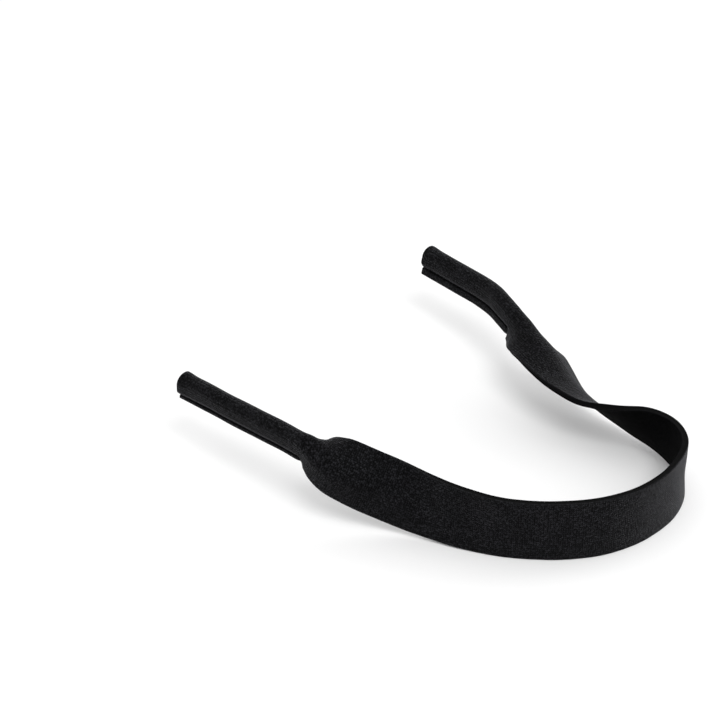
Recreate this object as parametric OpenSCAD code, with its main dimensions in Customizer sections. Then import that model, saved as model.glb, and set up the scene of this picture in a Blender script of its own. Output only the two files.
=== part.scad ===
// Eyeglass retainer strap: a neoprene strip whose two ends are folded and sewn
// into flat sleeves for the temples. The strip is a foam core with knit on both
// faces. It is split at four flex lines so that it can bend.

/* [Strip] */
// Width of the flat strip, mm
band_width = 25.4; // [22:0.2:30]
// Thickness of the strip away from the sleeves, mm
band_thickness = 2.4; // [2:0.1:3.2]
// Thickness of the strip where a sleeve stretches it, mm
sleeve_thickness = 1.6; // [1.4:0.1:2.2]
// Thickness of each knit face, mm
knit_thickness = 0.25; // [0.2:0.05:0.4]

/* [Sleeves] */
// Clear width inside a sleeve, mm
sleeve_bore = 4.6; // [4.4:0.1:5]
// Height of the sleeve's straight side walls, mm
sleeve_wall = 2.8; // [2.6:0.1:4]
// Height of the sewn flange below the sleeve, mm
seam_flange = 2.0; // [1.6:0.1:3]

/* [Seams] */
// Length of one stitch, mm
stitch_pitch = 3.2; // [2.4:0.1:4]
// Thickness of the sewing thread, mm
thread_thickness = 0.4; // [0.3:0.05:0.5]

/* [Hidden] */
// route of the strip from the left mouth round the back to the right mouth:
// x, y, z, then how far the section is rolled over and how far it is folded
origin_shift = [3.4, -178.52, 0];
route = [
  [-63.0, -96.0, 30.0, 90, 1.00],
  [-63.0, -140.8, 30.0, 90, 1.00],
  [-62.9, -150.3, 30.0, 90, 1.00],
  [-62.2, -158.9, 30.2, 90, 1.00],
  [-61.3, -162.2, 30.2, 70, 0.88],
  [-60.4, -165.6, 29.5, 52, 0.68],
  [-58.7, -170.9, 27.0, 36, 0.46],
  [-54.9, -178.1, 23.7, 23, 0.31],
  [-48.6, -187.1, 19.1, 15, 0.19],
  [-41.8, -198.6, 14.8, 8, 0.07],
  [-35.3, -214.7, 13.0, 2, 0.00],
  [-27.7, -231.3, 12.75, -1, 0.00],
  [-15.8, -245.2, 12.75, -2, 0.00],
  [0.1, -255.8, 12.75, -2, 0.00],
  [18.6, -259.6, 12.75, -1, 0.00],
  [35.6, -257.5, 12.75, -0.5, 0.00],
  [48.6, -250.3, 12.75, 0.5, 0.00],
  [56.0, -240.3, 12.8, 9, 0.00],
  [58.5, -227.2, 12.9, 22, 0.00],
  [56.3, -213.9, 13.4, 39, 0.02],
  [54.3, -201.2, 14.9, 52, 0.12],
  [53.9, -189.7, 18.0, 59, 0.20],
  [55.5, -179.1, 22.2, 68, 0.26],
  [57.2, -172.1, 25.0, 73, 0.36],
  [58.7, -164.5, 26.6, 75, 0.60],
  [60.5, -157.5, 27.6, 82, 0.91],
  [62.5, -149.7, 28.4, 90, 1.00],
  [64.5, -143.9, 29.1, 90, 1.00],
  [66.6, -138.3, 29.7, 90, 1.00],
  [68.6, -132.3, 30.0, 90, 1.00],
  [69.8, -126.4, 30.0, 90, 1.00],
  [69.8, -122.0, 30.0, 90, 1.00],
  [69.8, -96.0, 30.0, 90, 1.00]
];
row_left_neck = 3;
row_left_bend = 10;
row_right_bend = 16;
row_right_neck = 26;
last_row = len(route) - 1;

// distance along the strip to each route point
function step_length(i) = norm([for (k = [0:2]) route[i + 1][k] - route[i][k]]);
function travel(i) = i == 0 ? 0 : travel(i - 1) + step_length(i - 1);
station = [for (i = [0:last_row]) travel(i)];
strip_length = station[last_row];
s_left_neck = station[row_left_neck];
s_left_bend = station[row_left_bend];
s_right_bend = station[row_right_bend];
s_right_neck = station[row_right_neck];

// smooth curve through the route points, by distance
function chord(i) = (route[i + 1] - route[i]) / (station[i + 1] - station[i]);
function slope(i) = i == 0 ? chord(0) : i == last_row ? chord(last_row - 1) :
  let (a = station[i] - station[i - 1], b = station[i + 1] - station[i])
  (chord(i - 1) * b + chord(i) * a) / (a + b);
slopes = [for (i = [0:last_row]) slope(i)];
function span(s, i = 0) = i >= last_row - 1 || s < station[i + 1] ? i : span(s, i + 1);
function along(s) =
  let (i = span(s), h = station[i + 1] - station[i], u = (s - station[i]) / h)
  route[i] * (1 + 2 * u) * (1 - u) * (1 - u) + route[i + 1] * u * u * (3 - 2 * u) +
  (slopes[i] * u * (1 - u) * (1 - u) - slopes[i + 1] * u * u * (1 - u)) * h;
function place(s) = let (r = along(s)) [r[0], r[1], r[2]] - origin_shift;
function unit(v) = v / norm(v);
function heading(s) = unit(place(min(s + 0.2, strip_length)) - place(max(s - 0.2, 0)));
function outward(t) = unit(cross(t, [0, 0, 1]));

// the folded section: half of it, as width from the fold, the fold's own turn there,
// and how much further the wall is tucked in towards the seam
half_bore = (sleeve_bore + sleeve_thickness) / 2;
bend_angle = 50;
bend_radius = 1.2;
bend_side = bend_radius * (1 - cos(bend_angle));
bend_length = bend_radius * bend_angle * PI / 180;
slant = (half_bore - sleeve_thickness / 2 - 0.06 - 2 * bend_side) / sin(bend_angle);
q1 = half_bore * PI / 2;
q2 = q1 + sleeve_wall;
q3 = q2 + bend_length;
q4 = q3 + slant;
q5 = q4 + bend_length;
half_sleeve = q5 + seam_flange;
half_folded = [
  [0, 0, 0], [q1 / 4, 22.5, 0], [q1 / 2, 45, 0], [q1 * 3 / 4, 67.5, 0], [q1, 90, 0], [q2, 90, 0],
  [(q2 + q3) / 2, 90, bend_angle / 2], [q3, 90, bend_angle], [q4, 90, bend_angle],
  [(q4 + q5) / 2, 90, bend_angle / 2], [q5, 90, 0]
];
folds = len(half_folded);
function mix(a, b, t) = a + (b - a) * min(max(t, 0), 1);
// how far a station lies past the sewn end of the nearer sleeve
function past_neck(s) = min(s - s_left_neck, s_right_neck - s);
function thickness(s) = mix(sleeve_thickness, band_thickness, past_neck(s) / 16);
function half_width(s) = mix(half_sleeve, band_width / 2, past_neck(s) / 10);
// the tuck opens out in a short length once the stitches end
function ease(x) = let (c = min(max(x, 0), 1)) c * c * (3 - 2 * c);
function held(s) = 1 - ease(past_neck(s) / 3.5);
function folded_grid(s) = concat(
  [[-half_width(s), -90, 0]],
  [for (i = [folds - 1:-1:1]) [-half_folded[i][0], -half_folded[i][1], -half_folded[i][2] * held(s)]],
  [for (f = half_folded) [f[0], f[1], f[2] * held(s)]],
  [[half_width(s), 90, 0]]);
flat_grid = [[-band_width / 2, -90, 0], [0, 0, 0], [band_width / 2, 90, 0]];

// centre line of a section as [along the outward side, up], running from the lower edge
function turn(g, r) = r[3] + r[4] * g[1] + g[2];
function leg(a, b, r) =
  let (t0 = turn(a, r), t1 = turn(b, r), m = (t0 + t1) / 2, d = (t1 - t0) / 2,
    c = (b[0] - a[0]) * (abs(d) < 0.01 ? 1 : sin(d) / (d * PI / 180)))
  [-c * sin(m), c * cos(m)];
function trace(g, r, i = 0, at = [0, 0], out = []) =
  i == len(g) - 1 ? concat(out, [at]) :
  trace(g, r, i + 1, at + leg(g[i], g[i + 1], r), concat(out, [at]));
function middle(p, g, i = 0, sum = [0, 0]) =
  i == len(g) - 1 ? sum / (g[len(g) - 1][0] - g[0][0]) :
  middle(p, g, i + 1, sum + (p[i] + p[i + 1]) / 2 * (g[i + 1][0] - g[i][0]));
// the same line moved off its middle by o, centred on the route
function section(s, g, o) =
  let (r = along(s), p = trace(g, r), c = middle(p, g))
  [for (i = [0:len(g) - 1]) let (t = turn(g[i], r)) p[i] - c + [o * cos(t), o * sin(t)]];

// a ring of points across the strip, square to the route
function ring(s, g, o) =
  let (t = heading(s), n = outward(t), u = cross(n, t), c = place(s))
  [for (q = section(s, g, o)) c + n * q[0] + u * q[1]];
// a ring on a round cut about a flex line, at radius r from the line
function cut_ring(line, s, g, o, r, way) =
  let (t = heading(line), n = outward(t), u = cross(n, t), c = place(line))
  [for (q = section(s, g, o))
    c + n * q[0] + u * q[1] + t * way * sqrt(max(r * r - q[0] * q[0], 0.01))];

// a layer is a stack of rings for its outer side and the same for its inner side
module layer(outer, inner, shade) {
  m = len(outer[0]);
  k = len(outer);
  points = [for (i = [0:k - 1]) each concat(outer[i], inner[i])];
  function at(i, j, side) = i * 2 * m + side * m + j;
  sides = [for (i = [0:k - 2]) for (j = [0:m - 2]) each [
    [at(i, j, 0), at(i, j + 1, 0), at(i + 1, j + 1, 0)],
    [at(i, j, 0), at(i + 1, j + 1, 0), at(i + 1, j, 0)],
    [at(i, j, 1), at(i + 1, j + 1, 1), at(i, j + 1, 1)],
    [at(i, j, 1), at(i + 1, j, 1), at(i + 1, j + 1, 1)]]];
  edges = [for (i = [0:k - 2]) each [
    [at(i, 0, 0), at(i + 1, 0, 0), at(i + 1, 0, 1)],
    [at(i, 0, 0), at(i + 1, 0, 1), at(i, 0, 1)],
    [at(i, m - 1, 0), at(i + 1, m - 1, 1), at(i + 1, m - 1, 0)],
    [at(i, m - 1, 0), at(i, m - 1, 1), at(i + 1, m - 1, 1)]]];
  caps = [for (j = [0:m - 2]) each [
    [at(0, j, 0), at(0, j, 1), at(0, j + 1, 1)],
    [at(0, j, 0), at(0, j + 1, 1), at(0, j + 1, 0)],
    [at(k - 1, j, 0), at(k - 1, j + 1, 1), at(k - 1, j, 1)],
    [at(k - 1, j, 0), at(k - 1, j + 1, 0), at(k - 1, j + 1, 1)]]];
  color(shade) polyhedron(points, concat(sides, edges, caps));
}

neck_radius = 5;
neck_gap = 0.4;
bend_line_radius = 2;
bend_line_gap = 0.35;
line_left_neck = s_left_neck - neck_radius;
line_right_neck = s_right_neck + neck_radius;

function steps(a, b, size) =
  let (n = ceil((b - a) / size)) [for (i = [0:n]) a + (b - a) * i / n];
// depth of a layer's face: 1 is the outer face of the strip, -1 its inner face
function face(s, side, knit) = side * (thickness(s) / 2 - (knit ? knit_thickness : 0));

left_sleeve_stops = [0, station[1], station[2], line_left_neck];
right_sleeve_stops = concat(steps(line_right_neck, station[31], 4), [strip_length]);
left_band_stops = concat(
  steps(s_left_neck + 1.3, s_left_neck + 3.7, 1.2), steps(s_left_neck + 6.2, s_left_neck + 24, 2.6), steps(s_left_neck + 28, s_left_bend - 5, 4.5));
back_band_stops = steps(s_left_bend + 5, s_right_bend - 5, 3.6);
right_band_stops = concat(
  steps(s_right_bend + 5, s_right_neck - 26, 4.4), steps(s_right_neck - 22, s_right_neck - 6.2, 2.7),
  steps(s_right_neck - 3.7, s_right_neck - 1.3, 1.2));

function left_sleeve_face(side, knit) = concat(
  [for (s = left_sleeve_stops) if (s < line_left_neck) ring(s, folded_grid(s), face(s, side, knit))],
  [cut_ring(line_left_neck, line_left_neck, folded_grid(line_left_neck),
    face(line_left_neck, side, knit), neck_radius, 1)]);
function right_sleeve_face(side, knit) = concat(
  [cut_ring(line_right_neck, line_right_neck, folded_grid(line_right_neck),
    face(line_right_neck, side, knit), neck_radius, -1)],
  [for (s = right_sleeve_stops) if (s > line_right_neck) ring(s, folded_grid(s), face(s, side, knit))]);
function left_band_face(side, knit) = concat(
  [cut_ring(line_left_neck, line_left_neck, folded_grid(line_left_neck),
    face(line_left_neck, side, knit), neck_radius + neck_gap, 1)],
  [for (s = left_band_stops) ring(s, folded_grid(s), face(s, side, knit))],
  [cut_ring(s_left_bend, s_left_bend, folded_grid(s_left_bend),
    face(s_left_bend, side, knit), bend_line_radius + bend_line_gap, -1)]);
function back_band_face(side, knit) = concat(
  [cut_ring(s_left_bend, s_left_bend, flat_grid, face(s_left_bend, side, knit), bend_line_radius, -1)],
  [for (s = concat([s_left_bend], back_band_stops, [s_right_bend])) ring(s, flat_grid, face(s, side, knit))],
  [cut_ring(s_right_bend, s_right_bend, flat_grid, face(s_right_bend, side, knit), bend_line_radius, 1)]);
function right_band_face(side, knit) = concat(
  [cut_ring(s_right_bend, s_right_bend, folded_grid(s_right_bend),
    face(s_right_bend, side, knit), bend_line_radius + bend_line_gap, 1)],
  [for (s = right_band_stops) ring(s, folded_grid(s), face(s, side, knit))],
  [cut_ring(line_right_neck, line_right_neck, folded_grid(line_right_neck),
    face(line_right_neck, side, knit), neck_radius + neck_gap, -1)]);

foam_shade = [0.05, 0.05, 0.055];
knit_shade = [0.11, 0.11, 0.12];
thread_shade = [0.16, 0.16, 0.17];

// foam core of the left sleeve, folded over the temple
module left_sleeve_core() layer(left_sleeve_face(1, true), left_sleeve_face(-1, true), foam_shade);
// knit on the outside of the left sleeve
module left_sleeve_outer_knit() layer(left_sleeve_face(1, false), left_sleeve_face(1, true), knit_shade);
// knit lining inside the left sleeve
module left_sleeve_inner_knit() layer(left_sleeve_face(-1, true), left_sleeve_face(-1, false), knit_shade);
module left_band_core() layer(left_band_face(1, true), left_band_face(-1, true), foam_shade);
module left_band_outer_knit() layer(left_band_face(1, false), left_band_face(1, true), knit_shade);
module left_band_inner_knit() layer(left_band_face(-1, true), left_band_face(-1, false), knit_shade);
// the part of the band that lies on the table behind the head
module back_band_core() layer(back_band_face(1, true), back_band_face(-1, true), foam_shade);
module back_band_outer_knit() layer(back_band_face(1, false), back_band_face(1, true), knit_shade);
module back_band_inner_knit() layer(back_band_face(-1, true), back_band_face(-1, false), knit_shade);
// the right arm makes half a twist on its way to the sleeve
module right_band_core() layer(right_band_face(1, true), right_band_face(-1, true), foam_shade);
module right_band_outer_knit() layer(right_band_face(1, false), right_band_face(1, true), knit_shade);
module right_band_inner_knit() layer(right_band_face(-1, true), right_band_face(-1, false), knit_shade);
module right_sleeve_core() layer(right_sleeve_face(1, true), right_sleeve_face(-1, true), foam_shade);
module right_sleeve_outer_knit() layer(right_sleeve_face(1, false), right_sleeve_face(1, true), knit_shade);
module right_sleeve_inner_knit() layer(right_sleeve_face(-1, true), right_sleeve_face(-1, false), knit_shade);

// sewing thread along the top of the flange, rising and dipping with each stitch
module thread(centres, normals, ups) {
  sides = 6;
  k = len(centres);
  points = [for (i = [0:k - 1]) for (j = [0:sides - 1])
    centres[i] + (normals[i] * cos(60 * j) + ups[i] * sin(60 * j)) * thread_thickness / 2];
  tube = [for (i = [0:k - 2]) for (j = [0:sides - 1]) let (n = (j + 1) % sides) each [
    [i * sides + j, (i + 1) * sides + n, i * sides + n],
    [i * sides + j, (i + 1) * sides + j, (i + 1) * sides + n]]];
  ends = [for (j = [1:sides - 2]) each [
    [0, j, j + 1],
    [(k - 1) * sides, (k - 1) * sides + j + 1, (k - 1) * sides + j]]];
  color(thread_shade) polyhedron(points, concat(tube, ends));
}
// where the thread lies on one wall of the flange; edge -1 is the outer wall, 1 the inner wall
module seam(first, last, edge) {
  count = round((last - first) / stitch_pitch);
  pitch = (last - first) / count;
  stops = [for (i = [0:count - 1]) each [
    [first + pitch * (i + 0.08), 0.03], [first + pitch * (i + 0.26), 0.14],
    [first + pitch * (i + 0.74), 0.14], [first + pitch * (i + 0.92), 0.03]]];
  frames = [for (f = stops)
    let (s = f[0], t = heading(s), n = outward(t), u = cross(n, t), g = folded_grid(s),
      q = section(s, g, sleeve_thickness / 2), m = edge < 0 ? 1 : len(g) - 2)
    [place(s) + n * (q[m][0] - edge * (thread_thickness / 2 + 0.1 + f[1])) + u * (q[m][1] - 0.5), n, u, t]];
  thread([for (f = frames) f[0]], [for (f = frames) f[1]], [for (f = frames) f[2]]);
}
module left_seam_needle_thread() seam(1.5, line_left_neck - 0.5, -1);
module left_seam_bobbin_thread() seam(1.5, line_left_neck - 0.5, 1);
module right_seam_needle_thread() seam(line_right_neck + 0.5, strip_length - 1.5, -1);
module right_seam_bobbin_thread() seam(line_right_neck + 0.5, strip_length - 1.5, 1);

left_sleeve_core();
left_sleeve_outer_knit();
left_sleeve_inner_knit();
left_seam_needle_thread();
left_seam_bobbin_thread();
left_band_core();
left_band_outer_knit();
left_band_inner_knit();
back_band_core();
back_band_outer_knit();
back_band_inner_knit();
right_band_core();
right_band_outer_knit();
right_band_inner_knit();
right_sleeve_core();
right_sleeve_outer_knit();
right_sleeve_inner_knit();
right_seam_needle_thread();
right_seam_bobbin_thread();
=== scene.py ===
import math
import bpy
import numpy as np
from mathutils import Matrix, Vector


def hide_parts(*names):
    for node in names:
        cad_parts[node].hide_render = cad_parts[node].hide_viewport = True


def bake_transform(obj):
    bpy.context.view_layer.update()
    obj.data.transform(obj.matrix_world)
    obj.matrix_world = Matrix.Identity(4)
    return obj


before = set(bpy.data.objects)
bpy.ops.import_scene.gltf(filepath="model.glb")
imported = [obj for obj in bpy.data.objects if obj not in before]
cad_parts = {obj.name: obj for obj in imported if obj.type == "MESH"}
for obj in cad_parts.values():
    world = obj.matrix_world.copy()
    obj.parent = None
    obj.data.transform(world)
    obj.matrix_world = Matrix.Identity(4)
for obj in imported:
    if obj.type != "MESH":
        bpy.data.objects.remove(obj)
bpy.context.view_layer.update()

mm = 0.001  # lengths below are in millimetres, Blender's are in metres

# The strip as it is cut and laid, in millimetres.
# It runs from the left mouth round the back to the right mouth.
strip = {
    "bandWidth": 25.4,
    "bandThickness": 2.4,
    "sleeveThickness": 1.5,
    "jersey": 0.30,          # each knit face, as it shows at a cut edge
    "bore": 4.2,
    "wall": 2.7,
    "flange": 2.2,
    "rightExtra": 1.3,       # the right flange was trimmed wider
    "extraFrom": 4,          # it starts to widen this far into the band
    "extraLength": 6,        # and widens over this length
    # left and right: the flange runs past the sleeve's mouth, which is cut back on top
    "mouthReach": (1.9, 0.9),
    "mouthBack": 0.6,
    "mouthFlare": 0.35,
    "pullLength": 14,        # the pull along the strip fades out over this length
    "flareLength": 6,        # and so does the flare
    "tuckAngle": 50,         # how steeply the walls draw in to the seam
    "tuckRadius": 1.2,
    "wallGap": 0.06,         # between the two walls where they meet at the seam
    "seamEnd": (1.0, 2.5),   # how far past a neck the seam holds, and how slowly it lets go
    "release": 3.5,          # the tuck opens out over this length past the last stitch
    "slowRelease": 9.0,      # the same, on the inner wall at the left neck
    "thicken": 16,           # the strip is back to full thickness this far past a neck
    "widen": 10,             # and to full width this far past it
    "settle": 2.2,           # the laid curve is smoothed over this length
    "rowStep": 0.9,          # between two rows of the mesh
    "lastRow": 0.04,         # a very short first and last row
    "neckRows": (3, 26),     # route points where the two seams end
    "bendRows": (10, 16),    # and where the back bends
    "shift": (3.4, -178.52, -0.05),    # taken off every route point: the shared frame's origin
    # x, y, z, then how far the section is rolled over and how far it is folded
    "route": (
        (-64.1, -96.1, 29.8, 86, 1.00),
        (-62.3, -140.6, 30.2, 86, 1.00),
        (-61.6, -150.0, 30.1, 86, 1.00),
        (-61.8, -158.4, 30.2, 86, 1.00),
        (-61.3, -161.4, 30.4, 67, 0.87),
        (-60.4, -164.9, 29.6, 48, 0.67),
        (-59.0, -170.2, 26.9, 33, 0.47),
        (-55.1, -177.4, 23.6, 20, 0.30),
        (-48.7, -186.6, 19.2, 14, 0.17),
        (-41.8, -198.4, 14.9, 8, 0.05),
        (-35.3, -214.6, 13.0, 3, -0.04),
        (-27.7, -231.3, 12.8, -2, 0.00),
        (-15.8, -245.2, 12.8, -2, 0.00),
        (0.2, -255.8, 12.7, -2, 0.00),
        (18.7, -259.6, 12.7, -2, 0.00),
        (35.7, -257.4, 12.7, 0, 0.00),
        (48.7, -250.3, 12.8, 1, -0.04),
        (56.0, -240.2, 12.8, 9, -0.06),
        (58.4, -227.1, 12.6, 22, -0.07),
        (56.1, -213.7, 13.0, 40, 0.00),
        (54.1, -200.9, 14.5, 53, 0.10),
        (53.8, -189.4, 18.0, 59, 0.17),
        (55.5, -178.8, 22.3, 68, 0.24),
        (57.2, -171.8, 25.2, 73, 0.35),
        (58.4, -164.3, 26.2, 72, 0.60),
        (60.4, -157.9, 27.7, 77, 0.94),
        (62.1, -152.4, 28.5, 82, 1.00),
        (64.7, -144.4, 29.6, 81, 1.00),
        (66.7, -138.6, 30.1, 81, 1.00),
        (68.2, -132.4, 30.2, 81, 1.00),
        (69.3, -126.3, 30.2, 81, 1.00),
        (69.6, -122.0, 30.2, 81, 1.00),
        (71.6, -95.7, 30.5, 81, 1.00),
    ),
}


def smoothStep(x):
    x = np.clip(x, 0, 1)
    return x * x * (3 - 2 * x)


# The laid curve: one smooth line through the route points, with a heading at every station.
# A station is a distance along the strip from the left mouth.
route = np.array(strip["route"])
route[:, :3] -= np.array(strip["shift"])
gaps = np.linalg.norm(np.diff(route[:, :3], axis=0), axis=1)
stations = np.concatenate([[0], np.cumsum(gaps)])
stripLength = stations[-1]
chords = np.diff(route, axis=0) / gaps[:, None]
blended = chords[:-1] * gaps[1:, None] + chords[1:] * gaps[:-1, None]
slopes = np.vstack([chords[:1], blended / (gaps[1:] + gaps[:-1])[:, None], chords[-1:]])
leftNeck, rightNeck = (stations[i] for i in strip["neckRows"])
leftBend, rightBend = (stations[i] for i in strip["bendRows"])


def routeAt(s):
    i = np.clip(np.searchsorted(stations, s, side="right") - 1, 0, len(gaps) - 1)
    h = gaps[i]
    t = (s - stations[i]) / h
    a = ((1 + 2 * t) * (1 - t) ** 2)[:, None]
    b = (t * t * (3 - 2 * t))[:, None]
    c = (t * (1 - t) ** 2 * h)[:, None]
    d = (t * t * (1 - t) * h)[:, None]
    return a * route[i] + b * route[i + 1] + c * slopes[i] - d * slopes[i + 1]


fineStep = 0.25
runOut = 12              # the curve goes straight on this far past each mouth
fineS = np.arange(-runOut, stripLength + runOut, fineStep)
fineRoute = routeAt(np.clip(fineS, 0, stripLength))
fineRoute += np.clip(fineS, None, 0)[:, None] * slopes[0]
fineRoute += np.clip(fineS - stripLength, 0, None)[:, None] * slopes[-1]
reach = np.arange(-8, 8 + fineStep, fineStep)
kernel = np.exp(-0.5 * (reach / strip["settle"]) ** 2)
kernel /= kernel.sum()
fineRoute = np.array([np.convolve(c, kernel, mode="same") for c in fineRoute.T]).T
fineHeading = np.gradient(fineRoute[:, :3], fineStep, axis=0)
fineHeading /= np.linalg.norm(fineHeading, axis=1)[:, None]
print("curve: %.1f mm from mouth to mouth" % stripLength)


def frameAt(s):
    # place (with roll and fold), heading, outward side and up side of the strip at each station
    r = np.array([np.interp(s, fineS, c) for c in fineRoute.T]).T
    t = np.array([np.interp(s, fineS, c) for c in fineHeading.T]).T
    t /= np.linalg.norm(t, axis=1)[:, None]
    n = np.cross(t, (0, 0, 1))
    n /= np.linalg.norm(n, axis=1)[:, None]
    return r, t, n, np.cross(n, t)


# The folded section: half round over the temple, straight down the walls, then in to the seam
# and down the flange. Each value is a distance from the strip's middle line, across the strip.
halfBore = (strip["bore"] + strip["sleeveThickness"]) / 2
tuck = math.radians(strip["tuckAngle"])
tuckSide = strip["tuckRadius"] * (1 - math.cos(tuck))
slant = (halfBore - strip["sleeveThickness"] / 2 - strip["wallGap"] - 2 * tuckSide) / math.sin(tuck)
foldEnd = halfBore * math.pi / 2
wallEnd = foldEnd + strip["wall"]
tuckEnd = wallEnd + strip["tuckRadius"] * tuck
slantEnd = tuckEnd + slant
seamLine = slantEnd + strip["tuckRadius"] * tuck
halfSleeve = seamLine + strip["flange"]
acrossFine = np.arange(-20, 20.05, 0.05)
soften = np.hanning(19)  # the folds have no hard line: softened over about a millimetre


def turnAcross(stops, values):
    # how far the section has turned at each place across the strip, softened a little
    turn = np.sign(acrossFine) * np.interp(np.abs(acrossFine), stops, values)
    return np.convolve(turn, soften / soften.sum(), mode="same")


foldTurn = turnAcross((0, foldEnd, 30), (0, 90, 90))
tuckTurn = turnAcross((wallEnd, tuckEnd, slantEnd, seamLine),
                      (0, strip["tuckAngle"], strip["tuckAngle"], 0))


def pastNeck(s):
    # how far into the open band a station is; less than 0 in the sleeves
    return np.minimum(s - leftNeck, rightNeck - s)


def thickness(s):
    return np.interp(pastNeck(s), (0, strip["thicken"]),
                     (strip["sleeveThickness"], strip["bandThickness"]))


def flangeAt(s):
    toRight = s - rightNeck + strip["extraFrom"]
    return strip["flange"] + strip["rightExtra"] * smoothStep(toRight / strip["extraLength"])


def halfWidth(s):
    sleeve = halfSleeve - strip["flange"] + flangeAt(s)
    fromNeck = np.clip(pastNeck(s) / strip["widen"], 0, 1)
    return sleeve + (strip["bandWidth"] / 2 - sleeve) * fromNeck


def nearMouths(s, length):
    return smoothStep(1 - s / length), smoothStep(1 - (stripLength - s) / length)


def mouthPull(s, w):
    # how far the strip is drawn along its length near a mouth
    left, right = nearMouths(s, strip["pullLength"])
    outer = np.clip(np.abs(w) / halfSleeve, 0, 1) ** 1.3
    back = strip["mouthBack"]
    reachLeft, reachRight = strip["mouthReach"]
    return right * (reachRight * outer - back) - left * (reachLeft * outer - back)


def mouthFlare(s, w):
    # the rounded top of the sleeve opens a little at its mouth
    top = 1 - np.clip(np.abs(w) / halfSleeve, 0, 1) ** 2
    return strip["mouthFlare"] * sum(nearMouths(s, strip["flareLength"])) * top


def sewn(s):
    # 1 where the seam holds the two edges together, 0 where the strip is open
    last, letGo = strip["seamEnd"]
    return smoothStep((last - pastNeck(s)) / letGo)


denseCount = 241         # points on the mid-line, from edge to edge


class Section:
    # the strip's mid-line across a set of stations, ready to be offset to any depth
    def __init__(self, s):
        self.s = s
        self.place, self.heading, self.outward, self.upward = frameAt(s)
        self.half = halfWidth(s)
        v = np.linspace(-1, 1, denseCount)
        w = v[None, :] * self.half[:, None]
        slow = (w > 0) & (s[:, None] < stripLength / 2)
        release = np.where(slow, strip["slowRelease"], strip["release"])
        held = 1 - smoothStep(pastNeck(s)[:, None] / release)
        fold = np.interp(w, acrossFine, foldTurn)
        tucked = np.interp(w, acrossFine, tuckTurn)
        self.turn = np.radians(self.place[:, 3:4] + self.place[:, 4:5] * fold + held * tucked)
        middle = (self.turn[:, 1:] + self.turn[:, :-1]) / 2
        step = np.diff(w, axis=1)
        legs = np.stack([-np.sin(middle) * step, np.cos(middle) * step], axis=2)
        line = np.concatenate([np.zeros((len(s), 1, 2)), np.cumsum(legs, axis=1)], axis=1)
        self.line = line - ((line[:, 1:] + line[:, :-1]) / 2).mean(axis=1)[:, None]

    def points(self, w, depth):
        # w and depth are (stations, columns), in mm across the strip and off its mid-line
        f = np.clip((w / self.half[:, None] + 1) / 2 * (denseCount - 1), 0, denseCount - 1.001)
        i = f.astype(int)
        f = f - i
        rows = np.arange(len(self.s))[:, None]
        p = self.line[rows, i] * (1 - f)[..., None] + self.line[rows, i + 1] * f[..., None]
        a = self.turn[rows, i] * (1 - f) + self.turn[rows, i + 1] * f
        lift = depth + mouthFlare(self.s[:, None], w)
        p = p + np.stack([np.cos(a), np.sin(a)], axis=2) * lift[..., None]
        out = self.outward[:, None] * p[..., :1]
        up = self.upward[:, None] * p[..., 1:]
        along = self.heading[:, None] * mouthPull(self.s[:, None], w)[..., None]
        return self.place[:, None, :3] + out + up + along


# What handling and sewing did to the strip, in mm.
relief = {
    "sway": 0.10,            # slow waviness of the foam
    "grooveDepth": 0.52,     # how far the stitches sink into a wall
    "grooveReach": 0.6,
    "holeDepth": 0.14,       # deeper where the needle went through
    "puff": 0.28,            # the wall bulges a little just above the stitches
    "puffAt": 1.5,           # this far above them
    "puffReach": 0.7,
    "flangeSwell": 0.55,     # the flange isn't stretched, so it keeps more of its thickness
    "swellReach": 0.9,
    "edgeRound": 0.38,       # the knit rolls over the cut edge
    "stitchPitch": 3.2,
}


def sway(s, w):
    # a long wave of about 4 cm along the strip, and a shorter one of about 2 cm
    a = np.sin(s / 6.1 + 0.8 * np.sin(w / 5.0)) * np.sin(w / 4.3 + s / 17.0)
    b = np.sin(s / 2.7 + w / 3.1 + 1.7) * 0.35
    return relief["sway"] * (a + b)


def pressedAndShaded(s, w, half):
    # 1 along the line of stitches, less in the last 3 mm before a mouth; it sinks the groove, and
    # the knit's colour is darkened by it as painted shade in the groove
    fade = 1 - 0.8 * sum(nearMouths(s, 3))
    fromLine = half - np.abs(w) - flangeAt(s)
    return sewn(s) * fade * np.exp(-(fromLine / relief["grooveReach"]) ** 2)


def faceDepth(s, w, half, side):
    # how far a knit face lies off the mid-line; side is 1 outside and -1 inside
    toEdge = half - np.abs(w)
    base = thickness(s) / 2
    if side > 0:
        held = sewn(s)
        holes = np.cos(np.pi * s / relief["stitchPitch"]) ** 8
        swell = smoothStep((flangeAt(s) - toEdge) / relief["swellReach"])
        puff = np.exp(-((toEdge - flangeAt(s) - relief["puffAt"]) / relief["puffReach"]) ** 2)
        base = base + held * relief["flangeSwell"] * swell
        base = base + held * relief["puff"] * puff
        base = base - pressedAndShaded(s, w, half) * (relief["grooveDepth"] + relief["holeDepth"] * holes)
    r = relief["edgeRound"]
    near = np.clip(r - toEdge, 0, r)
    base = base - (r - np.sqrt(np.maximum(r * r - near * near, 0))) * 0.8
    return side * base + sway(s, w)


# Column places, measured from a cut edge, close together at the edge and round the stitches.
# As many more lie on each side of the middle as the count says.
faceSteps = np.array([0, 0.04, 0.1, 0.18, 0.28, 0.4, 0.6, 0.85, 1.1, 1.35, 1.6, 1.8, 1.95, 2.1,
                      2.25, 2.4, 2.6, 2.8, 3.0, 3.2, 3.35, 3.5, 3.65, 3.8, 4.0, 4.3, 4.7, 5.1])
faceCount = 16
layerSteps = np.array([0, 0.25, 1.0, 1.6, 2.2, 2.8, 3.5, 4.2, 5.1])
layerCount = 8


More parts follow.
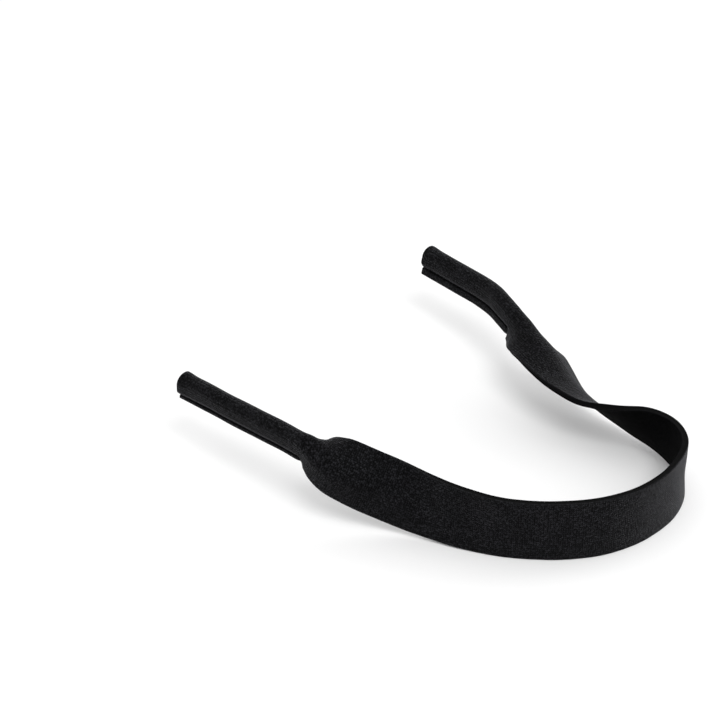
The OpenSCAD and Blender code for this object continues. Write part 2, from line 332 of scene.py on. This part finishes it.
def columnsFor(half, steps, count):
    # from the lower edge to the upper edge, close together near both
    room = half - steps[-1]
    middle = np.linspace(-1, 1, 2 * count + 1)[1:-1]
    return np.concatenate([
        -(half[:, None] - steps[None, :]),
        middle[None, :] * room[:, None],
        (half[:, None] - steps[None, ::-1]),
    ], axis=1)


def stationsBetween(a, b):
    # the first and last rows are very short, so that shading meets the next stretch without a line
    n = max(2, int(round((b - a) / strip["rowStep"])))
    inner = np.linspace(a, b, n + 1)
    short = strip["lastRow"]
    return np.concatenate([[a, a + short], inner[1:-1], [b - short, b]])


def capEnd(across, split):
    # triangles in ring order between the first side, up to split, and the second, which runs back
    first = list(range(split))
    second = list(range(len(across) - 1, split - 1, -1))
    i = j = 0
    faces = []
    while i < len(first) - 1 or j < len(second) - 1:
        stepFirst = j == len(second) - 1
        if not stepFirst and i < len(first) - 1:
            stepFirst = across[first[i + 1]] <= across[second[j + 1]]
        if stepFirst:
            faces.append((first[i], first[i + 1], second[j]))
            i += 1
        else:
            faces.append((first[i], second[j + 1], second[j]))
            j += 1
    return faces


def sweptSolid(name, rings, uv, edge, grooveShadeMask, across, split):
    # rings is (stations, points round the section, 3) in mm; the solid is capped at both ends
    k, m = rings.shape[:2]
    mesh = bpy.data.meshes.new(name)
    i, j = np.meshgrid(np.arange(k - 1), np.arange(m), indexing="ij")
    n = (j + 1) % m
    quads = np.stack([i * m + j, i * m + n, (i + 1) * m + n, (i + 1) * m + j], axis=2)
    faces = [tuple(q) for q in quads.reshape(-1, 4).tolist()]
    caps = [f[::-1] for f in capEnd(across[0], split)]
    caps += [tuple((k - 1) * m + v for v in f) for f in capEnd(across[-1], split)]
    mesh.from_pydata((rings.reshape(-1, 3) * mm).tolist(), [], faces + caps)
    coords = uv.reshape(-1, 2)
    layer = mesh.uv_layers.new(name="cloth")
    corners = np.empty(len(mesh.loops), dtype=np.int32)
    mesh.loops.foreach_get("vertex_index", corners)
    layer.data.foreach_set("uv", coords[corners].ravel().astype(np.float32))
    # the second attribute is the mask for the painted shade along the stitch groove
    for label, values in (("edgeDistance", edge), ("pressedAndShaded", grooveShadeMask)):
        attribute = mesh.attributes.new(label, "FLOAT", "POINT")
        attribute.data.foreach_set("value", values.ravel().astype(np.float32))
    mesh.polygons.foreach_set("use_smooth", [True] * len(mesh.polygons))
    obj = bpy.data.objects.new(name, mesh)
    bpy.context.scene.collection.objects.link(obj)
    mesh.set_sharp_from_angle(angle=math.radians(48))
    mesh.validate()
    return obj


def layerDepth(s, w, half, side):
    # where the foam meets a knit face; the stitches squeeze it too
    squeeze = relief["grooveDepth"] * pressedAndShaded(s, w, half) if side > 0 else 0
    return side * (thickness(s) / 2 - strip["jersey"] - squeeze) + sway(s, w)


def knitFace(name, a, b, side):
    s = stationsBetween(a, b)
    section = Section(s)
    half = section.half
    top = columnsFor(half, faceSteps, faceCount)
    under = columnsFor(half, layerSteps, layerCount)
    rows = s[:, None]
    topDepth = faceDepth(rows, top, half[:, None], side)
    underDepth = layerDepth(rows, under, half[:, None], side)
    w = np.concatenate([top, under[:, ::-1]], axis=1)
    depth = np.concatenate([topDepth, underDepth[:, ::-1]], axis=1)
    split = top.shape[1]
    if side > 0:
        w, depth = w[:, ::-1], depth[:, ::-1]
        split = under.shape[1]
    rings = section.points(w, depth)
    uv = np.stack([np.broadcast_to(rows, w.shape), w], axis=2)
    half = half[:, None]
    return sweptSolid(name, rings, uv, half - np.abs(w), pressedAndShaded(rows, w, half), w, split)


# The foam shows at the cut edges only, a little behind the two knit faces and slightly hollow.
foamEdge = {
    "setBack": 0.02,
    "hollow": 0.16,
    "levels": (-0.85, -0.6, -0.3, 0, 0.3, 0.6, 0.85),
}


def foamLayer(name, a, b):
    s = stationsBetween(a, b)
    section = Section(s)
    half = section.half[:, None]
    rows = s[:, None]
    skin = thickness(rows) / 2 - strip["jersey"]
    across = columnsFor(section.half - foamEdge["setBack"], layerSteps, layerCount)
    levels = np.array(foamEdge["levels"])
    hollow = foamEdge["hollow"] * (1 - levels ** 2)[None, :]
    high = (half - foamEdge["setBack"] - hollow) * np.ones_like(rows)
    side = levels[None, :] * skin
    w = np.concatenate([across, high, across[:, ::-1], -high], axis=1)
    depth = np.concatenate([
        layerDepth(rows, across, half, -1),
        side + sway(rows, high),
        layerDepth(rows, across[:, ::-1], half, 1),
        side[:, ::-1] + sway(rows, -high),
    ], axis=1)
    rings = section.points(w, depth)
    toEdge = half - np.abs(w)
    cloth = np.where(toEdge < 0.5, depth + w, w)  # the pattern runs on over the cut edge
    uv = np.stack([np.broadcast_to(rows, w.shape), cloth], axis=2)
    return sweptSolid(name, rings, uv, toEdge, 0 * w, w, across.shape[1] + high.shape[1])


def fromHex(code):
    # an sRGB hex value as a linear colour
    parts = [int(code[i:i + 2], 16) / 255 for i in (1, 3, 5)]
    return tuple(c / 12.92 if c <= 0.04045 else ((c + 0.055) / 1.055) ** 2.4 for c in parts) + (1,)


def addNode(tree, kind, inputs=None, **settings):
    # inputs maps a socket to a value, or to another node's output that is linked to it;
    # a map range takes the value, the two ends it comes from and the two it goes to
    node = tree.nodes.new(kind)
    for key, value in settings.items():
        setattr(node, key, value)
    for key, value in (inputs or {}).items():
        if isinstance(value, bpy.types.NodeSocket):
            tree.links.new(value, node.inputs[key])
        else:
            node.inputs[key].default_value = value
    return node


def newMaterial(name):
    material = bpy.data.materials.new(name)
    material.use_nodes = True
    material.node_tree.nodes.clear()
    return material, material.node_tree


jerseyLook = {
    "shade": "#030303",      # between the loops
    "yarn": "#18181a",       # on top of the loops
    "fleck": "#2e2e31",      # single loops that catch the light
    "fuzz": "#2e2e30",       # frayed fibre ends along a cut edge
    "waleMm": 0.95,          # real wales are 0.5 mm apart, drawn coarser so that they show
    "courseMm": 0.8,         # real courses are 0.4 mm apart, drawn coarser too
    "loopHeight": 0.16,      # mm
    "driftPerMm": 0.45,      # the courses wander a little, every 2 mm or so
    "speckPerMm": 1.15,      # fuzz is finer than 0.1 mm, drawn coarser so that it shows
    "wornPerMm": 0.09,       # rubbed and clean patches, about 1 cm across
    "roughness": 0.85,
    "specular": 0.04,
    "sheen": 0.44,
    "sheenRoughness": 0.3,
}


def jerseyKnit(name, look):
    # Polyester jersey, knitted and laminated to foam: matt and black, with a fine speckle of loops
    # and a soft sheen where it turns away.
    material, tree = newMaterial(name)
    cloth = addNode(tree, "ShaderNodeUVMap", uv_map="cloth")
    split = addNode(tree, "ShaderNodeSeparateXYZ", {0: cloth.outputs[0]})
    wale = addNode(tree, "ShaderNodeMath", {0: split.outputs[1], 1: 1 / look["waleMm"]},
                   operation="MULTIPLY")
    course = addNode(tree, "ShaderNodeMath", {0: split.outputs[0], 1: 1 / look["courseMm"]},
                     operation="MULTIPLY")
    half = addNode(tree, "ShaderNodeMath", {0: wale.outputs[0], 1: 0.5}, operation="PINGPONG")
    lean = addNode(tree, "ShaderNodeMath", {0: half.outputs[0], 1: 1.3, 2: 0.0},
                   operation="MULTIPLY_ADD")
    slow = addNode(tree, "ShaderNodeTexNoise", {
        "Vector": cloth.outputs[0],
        "Scale": look["driftPerMm"],
        "Detail": 2.0,
    }, noise_dimensions="2D")
    drift = addNode(tree, "ShaderNodeMath", {0: slow.outputs[0], 1: 0.9, 2: lean.outputs[0]},
                    operation="MULTIPLY_ADD")
    phase = addNode(tree, "ShaderNodeMath", {0: course.outputs[0], 1: drift.outputs[0]},
                    operation="ADD")
    turn = addNode(tree, "ShaderNodeMath", {0: phase.outputs[0], 1: 2 * math.pi},
                   operation="MULTIPLY")
    wave = addNode(tree, "ShaderNodeMath", {0: turn.outputs[0]}, operation="SINE")
    loop = addNode(tree, "ShaderNodeMath", {0: wave.outputs[0], 1: 0.5, 2: 0.5},
                   operation="MULTIPLY_ADD")
    leg = addNode(tree, "ShaderNodeMapRange",
                  {0: half.outputs[0], 1: 0.0, 2: 0.22, 3: 0.35, 4: 1.0})
    height = addNode(tree, "ShaderNodeMath", {0: loop.outputs[0], 1: leg.outputs[0]},
                     operation="MULTIPLY")

    speck = addNode(tree, "ShaderNodeTexNoise", {
        "Vector": cloth.outputs[0],
        "Scale": look["speckPerMm"],
        "Detail": 3.0,
        "Roughness": 0.75,
    }, noise_dimensions="2D")
    patch = addNode(tree, "ShaderNodeTexNoise", {
        "Vector": cloth.outputs[0],
        "Scale": look["wornPerMm"],
        "Detail": 2.0,
    }, noise_dimensions="2D")
    level = addNode(tree, "ShaderNodeMapRange",
                    {0: speck.outputs[0], 1: 0.36, 2: 0.64, 3: 0.1, 4: 1.0})
    mixed = addNode(tree, "ShaderNodeMath", {0: height.outputs[0], 1: level.outputs[0]},
                    operation="MULTIPLY")
    tone = addNode(tree, "ShaderNodeMapRange",
                   {0: mixed.outputs[0], 1: 0.02, 2: 0.6, 3: 0.0, 4: 1.0})
    ground = addNode(tree, "ShaderNodeMix", {
        0: tone.outputs[0],
        6: fromHex(look["shade"]),
        7: fromHex(look["yarn"]),
    }, data_type="RGBA")
    flecks = addNode(tree, "ShaderNodeTexVoronoi", {
        "Vector": cloth.outputs[0],
        "Scale": 1 / look["courseMm"],
    }, voronoi_dimensions="2D")
    pick = addNode(tree, "ShaderNodeSeparateColor", {0: flecks.outputs["Color"]})
    bright = addNode(tree, "ShaderNodeMapRange",
                     {0: pick.outputs[0], 1: 0.3, 2: 1.0, 3: 0.0, 4: 0.7})
    spot = addNode(tree, "ShaderNodeMapRange",
                   {0: flecks.outputs["Distance"], 1: 0.15, 2: 0.55, 3: 1.0, 4: 0.0})
    fleck = addNode(tree, "ShaderNodeMath", {0: bright.outputs[0], 1: spot.outputs[0]},
                    operation="MULTIPLY")
    lit = addNode(tree, "ShaderNodeMix", {
        0: fleck.outputs[0],
        6: ground.outputs[2],
        7: fromHex(look["fleck"]),
    }, data_type="RGBA")
    worn = addNode(tree, "ShaderNodeMapRange",
                   {0: patch.outputs[0], 1: 0.35, 2: 0.7, 3: 0.85, 4: 1.2})
    aged = addNode(tree, "ShaderNodeVectorMath", {0: lit.outputs[2], 1: worn.outputs[0]},
                   operation="MULTIPLY")

    edge = addNode(tree, "ShaderNodeAttribute", attribute_name="edgeDistance")
    rim = addNode(tree, "ShaderNodeMapRange",
                  {0: edge.outputs["Fac"], 1: 0.05, 2: 0.6, 3: 0.5, 4: 0.0})
    frayed = addNode(tree, "ShaderNodeMath", {0: rim.outputs[0], 1: speck.outputs[0]},
                     operation="MULTIPLY")
    colour = addNode(tree, "ShaderNodeMix", {
        0: frayed.outputs[0],
        6: aged.outputs[0],
        7: fromHex(look["fuzz"]),
    }, data_type="RGBA")
    # painted shade: the knit's colour is darkened to a quarter along the stitch line, where shade
    # falls in the groove
    grooveShadeMask = addNode(tree, "ShaderNodeAttribute", attribute_name="pressedAndShaded")
    paintedGrooveShade = addNode(tree, "ShaderNodeMapRange",
                       {0: grooveShadeMask.outputs["Fac"], 1: 0.1, 2: 0.8, 3: 1.0, 4: 0.25})
    final = addNode(tree, "ShaderNodeVectorMath", {0: colour.outputs[2], 1: paintedGrooveShade.outputs[0]},
                    operation="MULTIPLY")
    bump = addNode(tree, "ShaderNodeBump", {
        "Strength": 1.0,
        "Distance": look["loopHeight"] * mm,
        "Height": mixed.outputs[0],
    })
    rough = addNode(tree, "ShaderNodeMapRange", {
        0: speck.outputs[0],
        1: 0.3,
        2: 0.7,
        3: look["roughness"] - 0.06,
        4: look["roughness"] + 0.08,
    })
    shader = addNode(tree, "ShaderNodeBsdfPrincipled", {
        "Base Color": final.outputs[0],
        "Roughness": rough.outputs[0],
        "Normal": bump.outputs[0],
        "IOR": 1.45,
        "Specular IOR Level": look["specular"],
        "Sheen Weight": look["sheen"],
        "Sheen Roughness": look["sheenRoughness"],
        "Sheen Tint": fromHex("#a8a8ac"),
    })
    addNode(tree, "ShaderNodeOutputMaterial", {0: shader.outputs[0]})
    return material


foamLook = {
    "skin": "#020202",
    "cell": "#0a0a0b",
    "cellMm": 0.42,          # real cells are 0.15 mm across, drawn coarser so that they show
    "cellDepth": 0.05,       # mm
    "grainPerMm": 0.8,       # denser and looser cells, in patches of about a millimetre
    "roughness": 0.75,
}


def cutFoam(name, look):
    # Closed-cell chloroprene foam, die cut: dead black with tiny open cells, so that the edge
    # looks slightly grainy.
    material, tree = newMaterial(name)
    cloth = addNode(tree, "ShaderNodeUVMap", uv_map="cloth")
    cells = addNode(tree, "ShaderNodeTexVoronoi", {
        "Vector": cloth.outputs[0],
        "Scale": 1 / look["cellMm"],
    }, voronoi_dimensions="2D")
    grain = addNode(tree, "ShaderNodeTexNoise", {
        "Vector": cloth.outputs[0],
        "Scale": look["grainPerMm"],
        "Detail": 3.0,
    }, noise_dimensions="2D")
    rim = addNode(tree, "ShaderNodeMapRange",
                  {0: cells.outputs["Distance"], 1: 0.15, 2: 0.6, 3: 0.0, 4: 1.0})
    tone = addNode(tree, "ShaderNodeMath", {0: rim.outputs[0], 1: grain.outputs[0]},
                   operation="MULTIPLY")
    colour = addNode(tree, "ShaderNodeMix", {
        0: tone.outputs[0],
        6: fromHex(look["skin"]),
        7: fromHex(look["cell"]),
    }, data_type="RGBA")
    bump = addNode(tree, "ShaderNodeBump", {
        "Strength": 0.9,
        "Distance": look["cellDepth"] * mm,
        "Height": rim.outputs[0],
    })
    rough = addNode(tree, "ShaderNodeMapRange", {
        0: grain.outputs[0],
        1: 0.3,
        2: 0.7,
        3: look["roughness"] - 0.08,
        4: look["roughness"] + 0.1,
    })
    shader = addNode(tree, "ShaderNodeBsdfPrincipled", {
        "Base Color": colour.outputs[2],
        "Roughness": rough.outputs[0],
        "Normal": bump.outputs[0],
        "IOR": 1.52,
        "Specular IOR Level": 0.06,
    })
    addNode(tree, "ShaderNodeOutputMaterial", {0: shader.outputs[0]})
    return material


threadLook = {
    "fibre": "#19191b",
    "shadow": "#070708",
    "fibrePerMm": 3.0,       # real fibres are 0.02 mm thick, drawn coarser so that they show
    "fibreDepth": 0.02,      # mm
    "roughness": 0.5,
}


def sewingThread(name, look):
    # Bonded polyester thread, twisted: black with a slight gloss on each ply.
    material, tree = newMaterial(name)
    cloth = addNode(tree, "ShaderNodeUVMap", uv_map="cloth")
    fibres = addNode(tree, "ShaderNodeTexNoise", {
        "Vector": cloth.outputs[0],
        "Scale": look["fibrePerMm"],
        "Detail": 2.0,
    }, noise_dimensions="2D")
    colour = addNode(tree, "ShaderNodeMix", {
        0: fibres.outputs[0],
        6: fromHex(look["shadow"]),
        7: fromHex(look["fibre"]),
    }, data_type="RGBA")
    bump = addNode(tree, "ShaderNodeBump", {
        "Strength": 0.5,
        "Distance": look["fibreDepth"] * mm,
        "Height": fibres.outputs[0],
    })
    rough = addNode(tree, "ShaderNodeMapRange", {
        0: fibres.outputs[0],
        1: 0.3,
        2: 0.7,
        3: look["roughness"] - 0.1,
        4: look["roughness"] + 0.1,
    })
    shader = addNode(tree, "ShaderNodeBsdfPrincipled", {
        "Base Color": colour.outputs[2],
        "Roughness": rough.outputs[0],
        "Normal": bump.outputs[0],
        "IOR": 1.5,
        "Specular IOR Level": 0.4,
    })
    addNode(tree, "ShaderNodeOutputMaterial", {0: shader.outputs[0]})
    return material


# The lining is the same knit, drawn blacker, with slightly longer courses, almost no sheen and less
# specular.
liningLook = dict(
    jerseyLook,
    yarn="#060607",
    fleck="#111112",
    courseMm=0.85,
    sheen=0.02,
    specular=0.02,
)

outerJersey = jerseyKnit("outerPolyesterJersey", jerseyLook)
innerJersey = jerseyKnit("innerPolyesterJersey", liningLook)
chloropreneFoam = cutFoam("dieCutChloropreneFoam", foamLook)
bondedThread = sewingThread("bondedPolyesterThread", threadLook)
print("materials: jersey, foam and thread made")

# Each stretch crosses one flex line, and reaches from a station a little before the line
# to one a little past it.
intoSleeve = 5           # a sleeve's flex line lies this far short of its seam's end
neckReach = 9
bendReach = 15
stretches = (
    {
        "name": "leftSleeve",
        "ends": (0, 95),
        "line": leftNeck - intoSleeve,
        "reach": neckReach,
        "bodies": ("left_sleeve", "left_band"),
        "standsFor": ("left_sleeve", "left_band"),
    },
    {
        "name": "leftBand",
        "ends": (95, 180),
        "line": leftBend,
        "reach": bendReach,
        "bodies": ("left_band", "back_band"),
        "standsFor": ("left_band",),
    },
    {
        "name": "backBand",
        "ends": (180, 290),
        "line": rightBend,
        "reach": bendReach,
        "bodies": ("back_band", "right_band"),
        "standsFor": ("back_band",),
    },
    {
        "name": "rightSleeve",
        "ends": (290, stripLength),
        "line": rightNeck + intoSleeve,
        "reach": neckReach,
        "bodies": ("right_band", "right_sleeve"),
        "standsFor": ("right_band", "right_sleeve"),
    },
)


def bendOver(obj, stretch):
    # bakes the piece's placement into its mesh; the place and heading at its stretch's flex line
    # are worked out but not used
    place, heading = frameAt(np.array([stretch["line"]]))[:2]
    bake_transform(obj)


for stretch in stretches:
    name = stretch["name"]
    a, b = stretch["ends"]
    layers = (
        (knitFace(name + "OuterKnit", a, b, 1), "outer_knit", "knit_outer", outerJersey),
        (knitFace(name + "InnerKnit", a, b, -1), "inner_knit", "knit_inner", innerJersey),
        (foamLayer(name + "Foam", a, b), "core", "foam_core", chloropreneFoam),
    )
    for obj, layer, slotName, material in layers:
        obj.data.materials.append(material)
        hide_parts(*[side + "_" + layer for side in stretch["standsFor"]])
        bendOver(obj, stretch)
print("strap: knit faces and foam made")

# The seams: a twisted thread on each wall of both flanges.
seam = {
    "pitch": relief["stitchPitch"],
    "radius": 0.19,
    "sides": 10,
    "plyDepth": 0.16,        # how far the two plies stand out, as a share of the radius
    "twistMm": 1.1,          # half a turn of the two plies
    "dive": 0.55,            # how far a stitch's ends go into the foam
    "fromMouth": 1.5,        # the first stitch
    "fromNeck": 3.5,         # the last stitch
}


def seamThread(name, a, b, wall):
    # wall is -1 on the outer wall and 1 on the inner wall;
    # every stitch arches over the groove and dives at its holes
    count = int(round((b - a) / seam["pitch"]))
    holes = np.linspace(a, b, count + 1)
    stitch = holes[1] - holes[0]
    parts = np.linspace(0, 1, 13)[:-1]
    stops = np.concatenate([h + stitch * parts for h in holes[:-1]] + [[b]])
    within = (stops - a) / stitch
    arch = np.abs(np.sin(np.pi * within)) ** 0.45
    section = Section(stops)
    half = section.half[:, None]
    w = wall * (half - flangeAt(stops[:, None]))
    surface = faceDepth(stops[:, None], w, half, 1)
    depth = surface + seam["radius"] * 0.55 - seam["dive"] * (1 - arch[:, None])
    centres = section.points(w, depth)[:, 0]
    outer = section.points(w, depth + 0.1)[:, 0] - centres
    outer /= np.linalg.norm(outer, axis=1)[:, None]
    ahead = np.gradient(centres, axis=0)
    ahead /= np.linalg.norm(ahead, axis=1)[:, None]
    lift = outer - (outer * ahead).sum(axis=1)[:, None] * ahead
    lift /= np.linalg.norm(lift, axis=1)[:, None]
    side = np.cross(ahead, lift)
    angles = np.linspace(0, 2 * np.pi, seam["sides"], endpoint=False)[None, :]
    twist = (stops / seam["twistMm"] * np.pi)[:, None]
    radius = seam["radius"] * (1 + seam["plyDepth"] * np.cos(2 * (angles - twist)))
    upward = lift[:, None] * (radius * np.cos(angles))[..., None]
    sideways = side[:, None] * (radius * np.sin(angles))[..., None]
    rings = centres[:, None] + upward + sideways
    uv = np.stack([np.broadcast_to(stops[:, None], radius.shape), angles + 0 * radius], axis=2)
    lying = -np.cos(angles) + 0 * radius
    plain = 0 * radius
    return sweptSolid(name, rings, uv, plain + 1, plain, lying, seam["sides"] // 2 + 1)


leftSeam = (seam["fromMouth"], leftNeck - seam["fromNeck"])
rightSeam = (rightNeck + seam["fromNeck"], stripLength - seam["fromMouth"])
threads = (
    ("leftSeamNeedleThread", leftSeam, -1, "left_seam_needle_thread", stretches[0]),
    ("leftSeamBobbinThread", leftSeam, 1, "left_seam_bobbin_thread", stretches[0]),
    ("rightSeamNeedleThread", rightSeam, -1, "right_seam_needle_thread", stretches[3]),
    ("rightSeamBobbinThread", rightSeam, 1, "right_seam_bobbin_thread", stretches[3]),
)
for name, ends, wall, node, stretch in threads:
    obj = seamThread(name, ends[0], ends[1], wall)
    obj.data.materials.append(bondedThread)
    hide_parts(node)
    bendOver(obj, stretch)
print("seams: threads made")

# Lengths below are in metres.
studio = {
    "floor": "#f6f6f6",
    "toothPerMetre": 900,    # real paper tooth is 0.1 mm, drawn about 1 mm so that it shows
    "floorSize": 6.0,
    "skyLow": 0.62,          # at the horizon
    "skyHigh": 0.95,         # overhead
    "cameraAt": (-0.54322, -0.48810, 0.50363),
    "cameraLooks": (0.59972, 0.59929, -0.53027),
    "lens": 114.608,         # mm, as the sensor is
    "sensor": 36,
}
# width, place and power of each softbox; all are turned to the strap
softboxes = (
    ("frontSoftbox", 0.8, (-0.5, -0.9, 1.4), 13.0),
    ("sideSoftbox", 1.0, (1.3, -0.3, 0.8), 4.0),
)


def paperSweep(name):
    # Uncoated white paper: matt, with a barely visible tooth.
    material, tree = newMaterial(name)
    place = addNode(tree, "ShaderNodeTexCoord")
    tooth = addNode(tree, "ShaderNodeTexNoise", {
        "Vector": place.outputs["Object"],
        "Scale": studio["toothPerMetre"],
        "Detail": 2.0,
    })
    bump = addNode(tree, "ShaderNodeBump", {
        "Strength": 0.05,
        "Distance": 0.05 * mm,
        "Height": tooth.outputs[0],
    })
    shader = addNode(tree, "ShaderNodeBsdfPrincipled", {
        "Base Color": fromHex(studio["floor"]),
        "Roughness": 0.9,
        "Specular IOR Level": 0.1,
        "Normal": bump.outputs[0],
    })
    addNode(tree, "ShaderNodeOutputMaterial", {0: shader.outputs[0]})
    return material


d = studio["floorSize"] / 2
corners = [(-d, -d, 0), (d, -d, 0), (d, d, 0), (-d, d, 0)]
floorMesh = bpy.data.meshes.new("paperFloor")
floorMesh.from_pydata(corners, [], [(0, 1, 2, 3)])
floor = bpy.data.objects.new("paperFloor", floorMesh)
bpy.context.scene.collection.objects.link(floor)
floorMesh.materials.append(paperSweep("whitePaper"))

world = bpy.data.worlds.new("studioWorld")
world.use_nodes = True
world.node_tree.nodes.clear()
way = addNode(world.node_tree, "ShaderNodeTexCoord")
upward = addNode(world.node_tree, "ShaderNodeSeparateXYZ", {0: way.outputs["Generated"]})
level = addNode(world.node_tree, "ShaderNodeMapRange",
                {0: upward.outputs[2], 1: 0.0, 2: 1.0, 3: studio["skyLow"], 4: studio["skyHigh"]})
sky = addNode(world.node_tree, "ShaderNodeBackground", {0: (1, 1, 1, 1), 1: level.outputs[0]})
addNode(world.node_tree, "ShaderNodeOutputWorld", {0: sky.outputs[0]})
bpy.context.scene.world = world

for name, size, at, power in softboxes:
    light = bpy.data.lights.new(name, "AREA")
    light.shape = "DISK"
    light.size = size
    light.energy = power
    lamp = bpy.data.objects.new(name, light)
    bpy.context.scene.collection.objects.link(lamp)
    lamp.location = at
    lamp.rotation_euler = (-Vector(at)).to_track_quat("-Z", "Y").to_euler()

cameraData = bpy.data.cameras.new("viewCamera")
cameraData.lens = studio["lens"]
cameraData.sensor_width = studio["sensor"]
camera = bpy.data.objects.new("viewCamera", cameraData)
bpy.context.scene.collection.objects.link(camera)
camera.location = studio["cameraAt"]
camera.rotation_euler = Vector(studio["cameraLooks"]).to_track_quat("-Z", "Y").to_euler()
bpy.context.scene.camera = camera
bpy.context.scene.view_settings.view_transform = "Standard"
print("studio: floor, softboxes and camera set")
